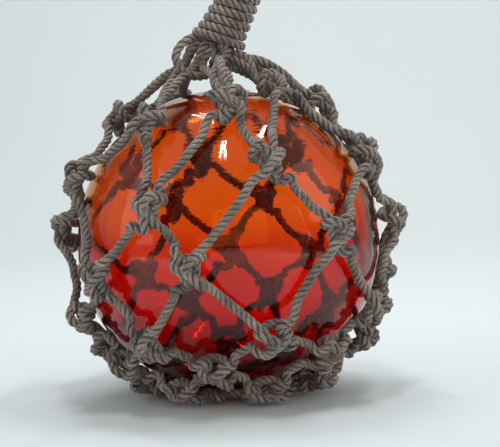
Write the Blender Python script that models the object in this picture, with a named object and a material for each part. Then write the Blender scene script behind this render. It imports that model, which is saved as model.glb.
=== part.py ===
"""A blown glass float ball in its knotted rope net, with a whipped neck and a rope eye.

The ball stands on the ring that closes the net below it. Metres, +Z up. The origin is on the
surface that it stands on, under the middle of the ball.
"""

import math

import bmesh
import bpy
from mathutils import Matrix, Vector

# Driving sizes, in metres
BALL_DIAMETER = 0.203
ROPE = 0.0062
CLEARANCE = 0.0003

# The glass
BALL_RADIUS = BALL_DIAMETER / 2
BALL_SEGMENTS = 28
BALL_RINGS = 12

# The net: a rope lies on the glass, and a knot stands three ropes thick off it
ROPE_LIFT = 0.0006
ROPE_LIE = BALL_RADIUS + ROPE / 2 + ROPE_LIFT
KNOT_LIE = BALL_RADIUS + 1.5 * ROPE
ROPE_SIDES = 5
LINK_STEPS = 2
KNOT_SIDES = 7
KNOT_SPREAD = 1.95 * ROPE
KNOT_STAND = 1.3 * ROPE
KNOT_LOBE = 0.12
KNOT_HOLD = 1.15 * ROPE

# Longitude and latitude of each knot in degrees, row by row downwards. Longitude 0 is the front (-Y)
# and grows to the right (+X). Every second row stands half a mesh further round.
KNOT_ROWS = (
    ((3, 56), (51, 67), (92, 55), (130, 56), (172, 58), (212, 56), (257, 50), (319, 48)),
    ((16, 30), (72, 30), (108, 31), (148, 32), (191, 30), (226, 25), (287, 24), (333, 15)),
    ((-13, -4), (38, 5), (89, 5), (128, 10), (165, 13), (202, 12), (264, 5), (310, -8)),
    ((16, -29), (66, -23), (105, -15), (147, -9), (180, -7), (216, -16), (288, -25), (327, -31)),
    ((-8, -43), (46, -38), (86, -38), (126, -32), (163, -25), (198, -29), (262, -40), (303, -44)),
    ((20, -57), (66, -55), (106, -54), (146, -51), (181, -47), (224, -52), (279, -57), (328, -57)),
)

# The ring that closes the net under the ball, with one bight of the last row on it for each mesh
RING_RADIUS = 0.039
RING_ROPE_RADIUS = 0.8 * ROPE
RING_STEPS = 14
RING_SIDES = 7
FOOT_CUT = 0.0012
RING_HEIGHT = -math.sqrt((BALL_RADIUS + RING_ROPE_RADIUS + ROPE_LIFT) ** 2 - RING_RADIUS**2)
BALL_HEIGHT = RING_ROPE_RADIUS - FOOT_CUT - RING_HEIGHT

# The neck that the net is gathered into. Its axis leans to the right.
NECK_FOOT = Vector((-0.0046, -0.004, BALL_RADIUS + 0.0287))
NECK_LEAN = math.radians(28)
NECK_LENGTH = 0.052
NECK_FOOT_RADIUS = 0.0116
NECK_TOP_RADIUS = 0.0070
NECK_SIDES = 10
NECK_FLARE = 0.006
LEG_SPREAD = NECK_FOOT_RADIUS + 0.55 * ROPE
# The legs run straight to the neck. On the side that it leans to they are slack and bow off the glass,
# and on the other side they come together lower down before they rise into it.
LEG_SLACK = 0.009
LEG_DROP = 0.014
LEG_DROP_LEAST = 0.3 * ROPE
LEG_WAIST = 1.22 * LEG_SPREAD
# How far round from its knot each leg meets the neck, as a share of the step between two knots
LEG_SIDE = 0.4

# The whipping: turns of the same rope round the neck, the lowest one slack over the legs
WHIPPING_START = 0.0035
WHIPPING_PITCH = 1.02 * ROPE
WHIPPING_TURNS = round((NECK_LENGTH - WHIPPING_START) / WHIPPING_PITCH)
WHIPPING_STEPS = 12
WHIPPING_ARC = 3
FOOT_TURN_SWELL = 0.0022

# The eye above the neck: a bight of the rope whose two legs are held in the top of the whipping
EYE_WIDTH = 0.030
EYE_HEIGHT = 0.046
EYE_LEG_DEPTH = 0.009
EYE_STEPS = 9
EYE_SIDES = 6

GLASS_COLOUR = (0.62, 0.035, 0.008, 1)
ROPE_COLOUR = (0.135, 0.115, 0.095, 1)


def clear_scene():
    for obj in list(bpy.data.objects):
        bpy.data.objects.remove(obj, do_unlink=True)


def material(name, colour, roughness, transmission=0.0):
    """A plain finish for one kind of piece."""
    made = bpy.data.materials.new(name)
    made.use_nodes = True
    made.diffuse_color = colour
    shader = made.node_tree.nodes["Principled BSDF"]
    shader.inputs["Base Color"].default_value = colour
    shader.inputs["Roughness"].default_value = roughness
    shader.inputs["Metallic"].default_value = 0.0
    shader.inputs["Transmission Weight"].default_value = transmission
    return made


def on_ball(longitude, latitude, radius):
    """A point round the ball's middle, from degrees."""
    turn = math.radians(longitude)
    rise = math.radians(latitude)
    flat = radius * math.cos(rise)
    return Vector((flat * math.sin(turn), -flat * math.cos(turn), radius * math.sin(rise)))


def add_tube(shape, path, radius, sides, closed=False):
    """A closed tube along a path, each ring square to the path; it adds to the bmesh."""
    count = len(path)
    rings = []
    side_way = None
    for i, point in enumerate(path):
        before = path[i - 1] if closed or i > 0 else point
        after = path[(i + 1) % count] if closed or i < count - 1 else point
        along = (after - before).normalized()
        if side_way is None:
            side_way = along.orthogonal().normalized()
        side_way = (side_way - along * side_way.dot(along)).normalized()
        up = along.cross(side_way)
        ring = []
        for k in range(sides):
            angle = 2 * math.pi * k / sides
            offset = side_way * math.cos(angle) + up * math.sin(angle)
            ring.append(shape.verts.new(point + offset * radius))
        rings.append(ring)
    pairs = list(zip(rings, rings[1:]))
    if closed:
        pairs.append((rings[-1], rings[0]))
    for low, high in pairs:
        for k in range(sides):
            shape.faces.new((low[k], low[(k + 1) % sides], high[(k + 1) % sides], high[k]))
    if not closed:
        shape.faces.new(tuple(reversed(rings[0])))
        shape.faces.new(tuple(rings[-1]))


def add_knot(shape, centre, turn):
    """A knot's standing form: a flattened lump, pinched where its loop crosses over its bight."""
    outward = centre.normalized()
    across = Vector((0, 0, 1)).cross(outward).normalized()
    upward = outward.cross(across)
    made = bmesh.ops.create_uvsphere(shape, u_segments=KNOT_SIDES, v_segments=4, radius=1.0)
    for vert in made["verts"]:
        flat_angle = math.atan2(vert.co.y, vert.co.x) + turn
        side = math.hypot(vert.co.x, vert.co.y) * KNOT_SPREAD * (1 + KNOT_LOBE * math.cos(3 * flat_angle))
        rise = vert.co.z * KNOT_STAND * (1 + KNOT_LOBE * math.cos(2 * flat_angle))
        flat = across * math.cos(flat_angle) + upward * math.sin(flat_angle)
        vert.co = centre + flat * side + outward * rise


def link_path(start, end, end_hold=KNOT_HOLD):
    """From inside one knot to inside the next: the rope touches the glass in the middle only."""
    spread = start.angle(end)
    level = (start.length + end.length) / 2
    first = KNOT_HOLD / (spread * level)
    last = 1 - end_hold / (spread * level)
    path = []
    for i in range(LINK_STEPS + 1):
        share = first + (last - first) * i / LINK_STEPS
        way = start.normalized().slerp(end.normalized(), share)
        height = start.length + (end.length - start.length) * share
        path.append(way * (ROPE_LIE + (height - ROPE_LIE) * (2 * share - 1) ** 2))
    return path


def neck_frame():
    """The neck's own axes: Z up along it from its foot, leaning right."""
    return Matrix.Translation(NECK_FOOT) @ Matrix.Rotation(NECK_LEAN, 4, "Y")


def neck_radius(height):
    """The gathered neck's radius at a height above its foot."""
    share = min(1.0, max(0.0, height / NECK_LENGTH))
    return NECK_FOOT_RADIUS + (NECK_TOP_RADIUS - NECK_FOOT_RADIUS) * share


def net_knots():
    """Every knot's middle, row by row, seen from the ball's middle."""
    return [[on_ball(lon, lat, KNOT_LIE) for lon, lat in row] for row in KNOT_ROWS]


def meshes_below(row, index, count):
    """The two knots of the next row that a knot is linked to."""
    if row % 2 == 0:
        return (index - 1) % count, index
    return index, (index + 1) % count


def net_strands():
    """All of the net's rope as tubes that run into each other at the knots."""
    shape = bmesh.new()
    knots = net_knots()
    count = len(knots[0])
    for row, line in enumerate(knots[:-1]):
        for index, knot in enumerate(line):
            for other in meshes_below(row, index, count):
                add_tube(shape, link_path(knot, knots[row + 1][other]), ROPE / 2, ROPE_SIDES)
    ring_lie = math.hypot(RING_RADIUS, RING_HEIGHT)
    ring_latitude = -math.degrees(math.acos(RING_RADIUS / ring_lie))
    for index, knot in enumerate(knots[-1]):
        for side in (-0.25, 0.25):
            end = on_ball(360 * (index + 0.5 + side) / count, ring_latitude, ring_lie)
            add_tube(shape, link_path(knot, end, 0), ROPE / 2, ROPE_SIDES)
    neck = neck_frame()
    for index, knot in enumerate(knots[0]):
        for side in (-LEG_SIDE, LEG_SIDE):
            turn = math.radians(360 * (index + side) / count)
            gather = neck @ Vector((LEG_SPREAD * math.sin(turn), -LEG_SPREAD * math.cos(turn), -NECK_FLARE))
            drop = LEG_DROP_LEAST + LEG_DROP * (1 - math.sin(turn)) / 2
            waist = neck @ Vector((LEG_WAIST * math.sin(turn), -LEG_WAIST * math.cos(turn), -NECK_FLARE - drop))
            waist = waist.normalized() * max(ROPE_LIE, waist.length)
            start = knot + (waist - knot).normalized() * KNOT_HOLD
            middle = start.lerp(waist, 0.5)
            reach = max(ROPE_LIE, middle.length) + LEG_SLACK * max(0.0, math.sin(turn))
            path = [start, middle.normalized() * reach, waist, gather]
            add_tube(shape, path, ROPE / 2, ROPE_SIDES)
    return shape


def net_knot_forms():
    """The knots, the closing ring and the gathered neck, none of which touch each other."""
    shape = bmesh.new()
    for row, line in enumerate(net_knots()):
        for index, knot in enumerate(line):
            add_knot(shape, knot, 0.7 * row + 1.1 * index)
    ring = []
    for k in range(RING_STEPS):
        turn = 2 * math.pi * k / RING_STEPS
        ring.append(Vector((RING_RADIUS * math.sin(turn), -RING_RADIUS * math.cos(turn), RING_HEIGHT)))
    add_tube(shape, ring, RING_ROPE_RADIUS, RING_SIDES, closed=True)
    neck = neck_frame()
    rings = []
    bundle_top = NECK_LENGTH - EYE_LEG_DEPTH
    bundle = (
        (LEG_SPREAD, -NECK_FLARE - ROPE / 2),
        (LEG_SPREAD + ROPE / 4, -NECK_FLARE),
        (neck_radius(0), 0),
        (neck_radius(bundle_top / 2), bundle_top / 2),
        (neck_radius(bundle_top), bundle_top),
    )
    for radius, height in bundle:
        ring = []
        for k in range(NECK_SIDES):
            turn = 2 * math.pi * k / NECK_SIDES
            spot = Vector((radius * math.cos(turn), radius * math.sin(turn), height))
            ring.append(shape.verts.new(neck @ spot))
        rings.append(ring)
    for low, high in zip(rings, rings[1:]):
        for k in range(NECK_SIDES):
            shape.faces.new((low[k], low[(k + 1) % NECK_SIDES], high[(k + 1) % NECK_SIDES], high[k]))
    shape.faces.new(tuple(reversed(rings[0])))
    shape.faces.new(tuple(rings[-1]))
    return shape


def whipping_shape():
    """The turns as one turned piece: a round back for each turn, and a bore that clears the neck."""
    shape = bmesh.new()
    neck = neck_frame()
    profile = []
    for turn in range(WHIPPING_TURNS):
        middle = WHIPPING_START + (turn + 0.5) * WHIPPING_PITCH
        swell = FOOT_TURN_SWELL if turn == 0 else 0.0
        seat = neck_radius(middle) + CLEARANCE + ROPE / 2 + swell
        for k in range(WHIPPING_ARC):
            angle = math.pi * (-0.42 + 0.84 * k / (WHIPPING_ARC - 1))
            profile.append((seat + ROPE / 2 * math.cos(angle), middle + ROPE / 2 * math.sin(angle)))
    foot = profile[0][1]
    top = profile[-1][1]
    bore = ((neck_radius(top) + CLEARANCE, top), (neck_radius(foot) + CLEARANCE, foot))
    profile.extend(bore)
    rings = []
    for step in range(WHIPPING_STEPS):
        turn = 2 * math.pi * step / WHIPPING_STEPS
        # A whole side of the bore stays clear of the corners of the neck
        spread = 1 / math.cos(math.pi / WHIPPING_STEPS)
        ring = []
        for radius, height in profile:
            reach = radius * spread if (radius, height) in bore else radius
            ring.append(shape.verts.new(neck @ Vector((reach * math.cos(turn), reach * math.sin(turn), height))))
        rings.append(ring)
    for low, high in zip(rings, rings[1:] + rings[:1]):
        for k in range(len(profile)):
            after = (k + 1) % len(profile)
            shape.faces.new((low[k], high[k], high[after], low[after]))
    return shape


def eye_shape():
    """The rope eye: two legs side by side in the whipping's top, open to a round bight above it."""
    shape = bmesh.new()
    neck = neck_frame()
    top = WHIPPING_START + WHIPPING_TURNS * WHIPPING_PITCH
    foot = NECK_LENGTH - EYE_LEG_DEPTH + CLEARANCE
    leg = ROPE / 2 + CLEARANCE / 2
    bight = EYE_WIDTH / 2
    crown = top + EYE_HEIGHT - bight
    path = [Vector((-leg, 0, foot)), Vector((-leg, 0, top - ROPE / 2)), Vector((-leg * 1.25, 0, top + ROPE))]
    for k in range(EYE_STEPS + 1):
        turn = math.pi * (1.12 - 1.24 * k / EYE_STEPS)
        path.append(Vector((bight * math.cos(turn), 0, crown + bight * math.sin(turn))))
    path += [Vector((leg * 1.25, 0, top + ROPE)), Vector((leg, 0, top - ROPE / 2)), Vector((leg, 0, foot))]
    add_tube(shape, [neck @ point for point in path], ROPE / 2, EYE_SIDES)
    return shape


def make_object(name, shape, finish, smooth=True):
    """A named object from a bmesh, with its faces outwards."""
    bmesh.ops.recalc_face_normals(shape, faces=shape.faces)
    mesh = bpy.data.meshes.new(name)
    shape.to_mesh(mesh)
    shape.free()
    if smooth:
        mesh.shade_smooth()
        mesh.set_sharp_from_angle(angle=math.radians(50))
    obj = bpy.data.objects.new(name, mesh)
    obj.data.materials.append(finish)
    bpy.context.scene.collection.objects.link(obj)
    return obj


def helper(obj):
    obj.hide_render = True
    obj.display_type = "WIRE"


def boolean(obj, other, operation, overlapping=False):
    cut = obj.modifiers.new(operation.title(), "BOOLEAN")
    cut.operation = operation
    cut.solver = "EXACT"
    cut.use_self = overlapping
    cut.object = other


def make_ball(finish):
    shape = bmesh.new()
    bmesh.ops.create_uvsphere(shape, u_segments=BALL_SEGMENTS, v_segments=BALL_RINGS, radius=BALL_RADIUS)
    return make_object("glass_ball", shape, finish)


def make_net(finish):
    net = make_object("net", net_knot_forms(), finish)
    strands = make_object("net_strands", net_strands(), finish)
    helper(strands)
    boolean(net, strands, "UNION", overlapping=True)
    floor = bmesh.new()
    side = 4 * RING_RADIUS
    bmesh.ops.create_cube(floor, size=side)
    bmesh.ops.translate(floor, vec=Vector((0, 0, -side / 2 - BALL_HEIGHT)), verts=floor.verts)
    foot = make_object("foot_cut", floor, finish, smooth=False)
    helper(foot)
    boolean(net, foot, "DIFFERENCE")
    return [net, strands, foot]


def main():
    clear_scene()
    glass = material("Blown glass", GLASS_COLOUR, 0.06, transmission=0.9)
    rope = material("Tarred hemp rope", ROPE_COLOUR, 0.9)
    middle = bpy.data.objects.new("ball_middle", None)
    bpy.context.scene.collection.objects.link(middle)
    middle.location = (0, 0, BALL_HEIGHT)
    pieces = [make_ball(glass)]
    pieces += make_net(rope)
    pieces.append(make_object("whipping", whipping_shape(), rope))
    pieces.append(make_object("hanging_loop", eye_shape(), rope))
    for piece in pieces:
        piece.parent = middle


main()
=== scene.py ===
"""The looks of a roped glass float: blown glass, a knotted net of laid rope, its neck and its eye.

Laid out as an add-on and run as a script. Metres, +Z up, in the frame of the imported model.
"""

import math
import random

import bmesh
import bpy
from bpy.props import FloatProperty, FloatVectorProperty, IntProperty, PointerProperty
from mathutils import Matrix, Vector, noise


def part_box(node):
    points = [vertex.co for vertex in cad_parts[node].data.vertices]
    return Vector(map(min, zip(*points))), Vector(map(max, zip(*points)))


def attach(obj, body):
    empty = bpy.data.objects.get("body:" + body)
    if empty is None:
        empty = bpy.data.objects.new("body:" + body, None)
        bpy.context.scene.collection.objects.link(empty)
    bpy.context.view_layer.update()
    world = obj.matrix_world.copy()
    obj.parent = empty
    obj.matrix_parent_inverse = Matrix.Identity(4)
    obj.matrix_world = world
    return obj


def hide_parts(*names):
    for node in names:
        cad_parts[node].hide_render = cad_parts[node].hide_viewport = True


bl_info = {
    "name": "Roped Glass Float",
    "version": (1, 0, 0),
    "blender": (4, 5, 0),
    "location": "View3D > Sidebar > Glass Float",
    "description": "Blown glass, a net of laid rope with real knots, a whipped neck and the stage",
    "category": "Object",
}

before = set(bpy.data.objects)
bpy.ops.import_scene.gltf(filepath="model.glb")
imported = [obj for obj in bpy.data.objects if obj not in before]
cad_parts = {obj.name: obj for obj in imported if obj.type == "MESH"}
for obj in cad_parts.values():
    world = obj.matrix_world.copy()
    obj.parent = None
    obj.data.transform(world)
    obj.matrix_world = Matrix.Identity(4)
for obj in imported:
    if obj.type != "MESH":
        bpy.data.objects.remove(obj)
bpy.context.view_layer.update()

# What the frame says of the ball
BALL_LOW, BALL_HIGH = (Vector(corner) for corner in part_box("glass_ball"))
BALL_RADIUS = (BALL_HIGH.z - BALL_LOW.z) / 2
BALL_MIDDLE = Vector((0, 0, (BALL_HIGH.z + BALL_LOW.z) / 2))
BODY = "root"

# The rope, and how it lies on the glass
ROPE = 0.0062
ROPE_LIFT = 0.0006
ROPE_LIE = BALL_RADIUS + ROPE / 2 + ROPE_LIFT
KNOT_LIE = BALL_RADIUS + 1.5 * ROPE
KNOT_LEAST = BALL_RADIUS + 0.53 * ROPE
HOOK_LEAST = BALL_RADIUS + 0.55 * ROPE

# Its make: three strands, each a share of the rope's width, and the yarns round a strand, which go once
# round it against the lay in the length YARN_TWIST
STRANDS = 3
STRAND_SHARE = 0.255
YARNS = 7
YARN_TWIST = 0.021

# Longitude and latitude of each knot in degrees, row by row downwards. Longitude 0 is the front (-Y)
# and grows to the right (+X). Every second row stands half a mesh further round.
KNOT_ROWS = (
    ((3, 56), (51, 67), (92, 55), (130, 56), (172, 58), (212, 56), (257, 50), (319, 48)),
    ((16, 30), (72, 30), (108, 31), (148, 32), (191, 30), (226, 25), (287, 24), (333, 15)),
    ((-13, -4), (38, 5), (89, 5), (128, 10), (165, 13), (202, 12), (264, 5), (310, -8)),
    ((16, -29), (66, -23), (105, -15), (147, -9), (180, -7), (216, -16), (288, -25), (327, -31)),
    ((-8, -43), (46, -38), (86, -38), (126, -32), (163, -25), (198, -29), (262, -40), (303, -44)),
    ((20, -57), (66, -55), (106, -54), (146, -51), (181, -47), (224, -52), (279, -57), (328, -57)),
)
MESHES = len(KNOT_ROWS[0])

# The two ways through a knot, in rope diameters: right, up and out from the glass.
# The bight hangs down from the mesh above. The working part comes up through it from behind, round
# the back of both its legs, and out under itself.
BIGHT_WAY = (
    (-0.98, 1.15, 0.10),
    (-0.72, 0.10, 0.00),
    (-0.55, -0.75, -0.10),
    (0.0, -1.22, -0.20),
    (0.55, -0.75, -0.10),
    (0.72, 0.10, 0.00),
    (0.98, 1.15, 0.10),
)
WORKING_WAY = (
    (-1.05, -1.65, -0.45),
    (-0.35, -1.35, -0.92),
    (0.0, -0.45, -0.10),
    (0.10, 0.30, 1.18),
    (0.80, 0.95, 1.00),
    (1.42, 0.88, 0.0),
    (0.80, 0.75, -0.88),
    (-0.80, 0.70, -0.88),
    (-1.42, 0.55, 0.05),
    (-0.80, -0.05, 0.82),
    (0.20, -0.45, 0.75),
    (1.15, -1.10, 0.45),
)
# Where the rope leaves a knot, in rope diameters from its middle, and how high over the glass
KNOT_EXIT = 2.35
BIGHT_EXIT_OUT = 0.05
WORKING_EXIT_OUT = -0.1
# A drawn knot is longer along the pull of its cords than across it
KNOT_WIDTH = 1.02
KNOT_HEIGHT = 1.24
# The last row is drawn wide and pressed flat under the ball
PRESSED = (1.12, 0.72, 0.80)
# The rope is fuller in a knot than where it is pulled straight
KNOT_GIRTH = 1.06
# Knots differ a little in size and in how they are turned
KNOT_SIZES = (0.95, 1.03)
KNOT_STRAY = 0.22
LINK_SWAY = 0.0016

# Knots where a cord ends, by row and place in the row, and how far its cut end is turned from
# straight down, in degrees to the right
CUT_ENDS = {
    (0, 0): -105, (0, 4): 60, (0, 7): -20, (1, 2): 35, (1, 5): -40, (1, 7): 10, (2, 0): 38,
    (2, 3): -30, (2, 5): 20, (2, 7): 15, (3, 2): 50, (3, 4): -15, (3, 7): 40, (4, 0): 45,
    (4, 1): -5, (4, 4): 30, (5, 0): 68, (5, 3): -60, (5, 6): 100,
}
# The way of a cut end from the knot's middle, in rope diameters: along it and out from the glass
CUT_END_WAY = ((0.1, 0.45), (0.85, 0.80), (1.6, 0.85), (2.295, 0.62), (2.55, 0.52))
# A cut end is worn round, down to this share of the rope's width
CUT_ROUNDING = 0.66

# The ring under the ball, and the heights over the table of a bight outside, under and inside it
RING_RADIUS = 0.039
RING_HEIGHT = 0.0066
RING_OUTER_HEIGHT = 0.0050
RING_PASS_HEIGHT = 0.0032
RING_INNER_HEIGHT = 0.0038
TABLE_CLEARANCE = 0.72 * ROPE
# Where the two legs of a lowest knot meet the ring, as shares of the step between two knots
RING_SIDES = (-0.25, 0.25)
RING_POINTS = 16

# The neck
NECK_FOOT = Vector((-0.0046, -0.004, BALL_RADIUS + 0.0287))
NECK_LEAN = math.radians(28)
NECK_LENGTH = 0.052
NECK_FOOT_RADIUS = 0.0116
NECK_TOP_RADIUS = 0.0070
# Where a knot's two legs meet the neck, as shares of the step between two knots
LEG_SIDES = (-0.40, 0.40)
# The two legs of the foremost knot stand wider and more to the right
FRONT_LEG_SIDES = (-0.20, 1.10)
# How far a leg bows off the glass on the side that the neck leans to, and how much lower the legs come
# together on the other side
LEG_SLACK = 0.009
LEG_DROP = 0.014
# A leg's way up into the neck and down again, each step a height and a share of the neck's radius
LEG_UP = ((-0.7 * ROPE, 1.02), (0.8 * ROPE, 0.72))
LEG_DOWN = ((0.8 * ROPE, 0.50), (-0.7 * ROPE, 0.90))
# Out of sight inside the whipping every second leg turns back near the top, and the others near the foot
LEG_TURN_HEIGHTS = (5.6 * ROPE, 2.6 * ROPE)

# The whipping
WHIPPING_TURNS = 8
WHIPPING_START = 0.0035
WHIPPING_PITCH = 1.02 * ROPE
WHIPPING_STEPS = 12
WHIPPING_TURN_START = math.radians(200)
# The lowest turn swells over the legs, and every turn dips and rises a little
WHIPPING_SWELL = 0.0022
WHIPPING_WAVE = 0.0009

# The eye
EYE_WIDTH = 0.030
EYE_HEIGHT = 0.046
EYE_LEG_DEPTH = 0.009
EYE_LEG_LIFT = 0.0003

# The skins of the ball: their columns and rows, and the seal button below
SKIN_COLUMNS = 160
SKIN_ROWS = 96
SEAL_RADIUS = 0.0085
SEAL_HEIGHT = 0.0013

# The net's pieces, from the top
COURSE_NAMES = ("neck_legs", "first_course", "second_course", "third_course", "fourth_course",
                "fifth_course", "lowest_course")

# The camera, from the photograph: 500 pixels across, 1650 pixels of focal length
PHOTO_WIDTH = 500
FOCAL_PIXELS = 1650
SENSOR_MM = 36.0
CAMERA_AWAY = 1.105
CAMERA_HEIGHT = 0.1919
CAMERA_DOWN = math.radians(4.0)
CAMERA_ROLL = math.radians(1.7)
CAMERA_TURN = math.radians(0.766)

# The paper sweep: its front and back on the floor, its bend's radius, its top and half its width
SWEEP_FRONT = -2.6
SWEEP_BACK = 1.1
SWEEP_BEND = 0.6
SWEEP_TOP = 2.6
SWEEP_HALF_WIDTH = 3.2

# The strip lamps hang in pairs, so that they glint where the photograph shows glints. Each pair is a
# place, a turn about the way that it faces, and a length.
STRIP_WIDTH = 0.018
STRIP_APART = 0.044
STRIP_LAMPS = (
    ((-0.14, 0.34, 1.20), math.radians(4), 0.45),
    ((-0.04, -0.33, 1.20), 0.0, 0.26),
    ((0.38, 0.08, 1.20), math.radians(72), 0.34),
)


class FloatRopeSettings(bpy.types.PropertyGroup):
    """Sizes and colours of the rope."""

    diameter: FloatProperty(name="Rope diameter", description="Across the laid rope", default=ROPE,
                            min=0.002, max=0.02, precision=4, unit="LENGTH")
    lay: FloatProperty(name="Lay", description="Length in which a strand goes once round the rope",
                       default=0.0132, min=0.004, max=0.08, precision=4, unit="LENGTH")
    step: FloatProperty(name="Step", description="Distance between the rings of points along a strand",
                        default=0.00115, min=0.0005, max=0.01, precision=5, unit="LENGTH")
    sides: IntProperty(name="Sides", description="Points round one strand", default=8, min=5, max=16)
    light: FloatVectorProperty(name="Worn yarn", description="Yarns on the crown of a strand",
                               subtype="COLOR_GAMMA", size=3, default=(0.640, 0.585, 0.535))
    dark: FloatVectorProperty(name="Tarred yarn", description="Yarns that keep their tar",
                              subtype="COLOR_GAMMA", size=3, default=(0.245, 0.214, 0.195))


class FloatGlassSettings(bpy.types.PropertyGroup):
    """Sizes and colours of the blown ball."""

    wall: FloatProperty(name="Wall", description="Thickness of the blown wall", default=0.0040,
                        min=0.002, max=0.01, precision=4, unit="LENGTH")
    swell: FloatProperty(name="Swell", description="How far the ball is out of round", default=0.0007,
                         min=0.0, max=0.002, precision=5, unit="LENGTH")
    seeds: IntProperty(name="Seeds", description="Small bubbles left in the wall", default=46, min=0,
                       max=200)
    crown: FloatVectorProperty(name="Crown", description="Colour of the glass at the top",
                               subtype="COLOR_GAMMA", size=3, default=(0.990, 0.595, 0.240))
    flank: FloatVectorProperty(name="Flank", description="Colour of the glass lower down",
                               subtype="COLOR_GAMMA", size=3, default=(0.870, 0.140, 0.080))
    # The foot colour is painted shade at the bottom of the ball
    foot: FloatVectorProperty(name="Foot", description="Colour of the thick glass at the bottom",
                              subtype="COLOR_GAMMA", size=3, default=(0.600, 0.185, 0.185))
    edge: FloatVectorProperty(name="Edge", description="Colour where the glass is seen on the slant",
                              subtype="COLOR_GAMMA", size=3, default=(0.690, 0.095, 0.085))


class FloatStageSettings(bpy.types.PropertyGroup):
    """The pale stage and its lamps."""

    paper: FloatVectorProperty(name="Paper", description="Colour of the floor and the backdrop",
                               subtype="COLOR_GAMMA", size=3, default=(0.860, 0.890, 0.893))
    box_power: FloatProperty(name="Side lamps", description="Strength of the two side softboxes",
                             default=1.0, min=0.0, max=200.0, unit="POWER")
    back_power: FloatProperty(name="Backdrop lamp", description="Strength of the lamp on the backdrop",
                              default=19.5, min=0.0, max=200.0, unit="POWER")
    fill_power: FloatProperty(name="Front fill", description="Strength of the soft lamp by the camera",
                              default=5.0, min=0.0, max=200.0, unit="POWER")
    low_power: FloatProperty(name="Low lamps", description="Strength of each low lamp in front",
                             default=1.6, min=0.0, max=200.0, unit="POWER")
    strip_power: FloatProperty(name="Strip lamps", description="Strength of each small strip lamp overhead",
                               default=1.2, min=0.0, max=200.0, unit="POWER")
    air: FloatProperty(name="Fill", description="Strength of the light from all round", default=0.45,
                       min=0.0, max=5.0)
    gloom: FloatProperty(name="Room", description="Strength of the light from behind the camera",
                         default=0.08, min=0.0, max=5.0)


def linear(colour):
    """An sRGB colour, as three shares or a hex string, as linear RGBA."""
    if isinstance(colour, str):
        colour = [int(colour[i:i + 2], 16) / 255 for i in (1, 3, 5)]
    parts = [c / 12.92 if c <= 0.04045 else ((c + 0.055) / 1.055) ** 2.4 for c in colour]
    return (*parts, 1.0)


def add_node(tree, kind, inputs=None, **settings):
    """A node with its settings. An input, by name or number, takes a plain value or another's socket."""
    node = tree.nodes.new(kind)
    for name, value in settings.items():
        setattr(node, name, value)
    for name, value in (inputs or {}).items():
        if isinstance(value, bpy.types.NodeSocket):
            tree.links.new(value, node.inputs[name])
        else:
            node.inputs[name].default_value = value
    return node


def new_material(name):
    """A new material, its node tree and its shader."""
    made = bpy.data.materials.new(name)
    made.use_nodes = True
    return made, made.node_tree, made.node_tree.nodes["Principled BSDF"]


def link_inputs(tree, node, inputs):
    """Links sockets to a node that is already there."""
    for name, socket in inputs.items():
        tree.links.new(socket, node.inputs[name])


def on_ball(longitude, latitude, radius):
    """A point round the ball's middle, from degrees."""
    turn = math.radians(longitude)
    rise = math.radians(latitude)
    flat = radius * math.cos(rise)
    return Vector((flat * math.sin(turn), -flat * math.cos(turn), radius * math.sin(rise)))


def neck_frame():
    """The neck's own axes: Z up along it from its foot, leaning right."""
    return Matrix.Translation(NECK_FOOT) @ Matrix.Rotation(NECK_LEAN, 4, "Y")


def neck_radius(height):
    """The gathered neck's radius at a height above its foot."""
    share = min(1.0, max(0.0, height / NECK_LENGTH))
    return NECK_FOOT_RADIUS + (NECK_TOP_RADIUS - NECK_FOOT_RADIUS) * share


def net_knots():
    """Every knot's middle, row by row, seen from the ball's middle."""
    return [[on_ball(lon, lat, KNOT_LIE) for lon, lat in row] for row in KNOT_ROWS]


def linked(row, index):
    """The places of the two knots, left and right, that a knot is linked to in the next row either way."""
    if row % 2 == 0:
        return (index - 1) % MESHES, index
    return index, (index + 1) % MESHES


def ring_pass(index, side):
    """Where a leg of the last row meets the closing ring, seen from the ball's middle."""
    return round_the_ring(math.radians(360 * (index + 0.5 + side) / MESHES), RING_RADIUS, RING_HEIGHT)


def leg_side(index, which):
    """How far round from its knot a leg meets the neck, as a share of the step between two knots."""
    return (LEG_SIDES if index % MESHES else FRONT_LEG_SIDES)[which]


def neck_pass(index, side, height, share):
    """A leg's place in the gathered neck at a height, as a share of the neck's radius."""
    turn = math.radians(360 * (index + side) / MESHES)
    radius = share * (neck_radius(height) + max(0.0, -height) * 0.55)
    return neck_frame() @ Vector((radius * math.sin(turn), -radius * math.cos(turn), height))


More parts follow.
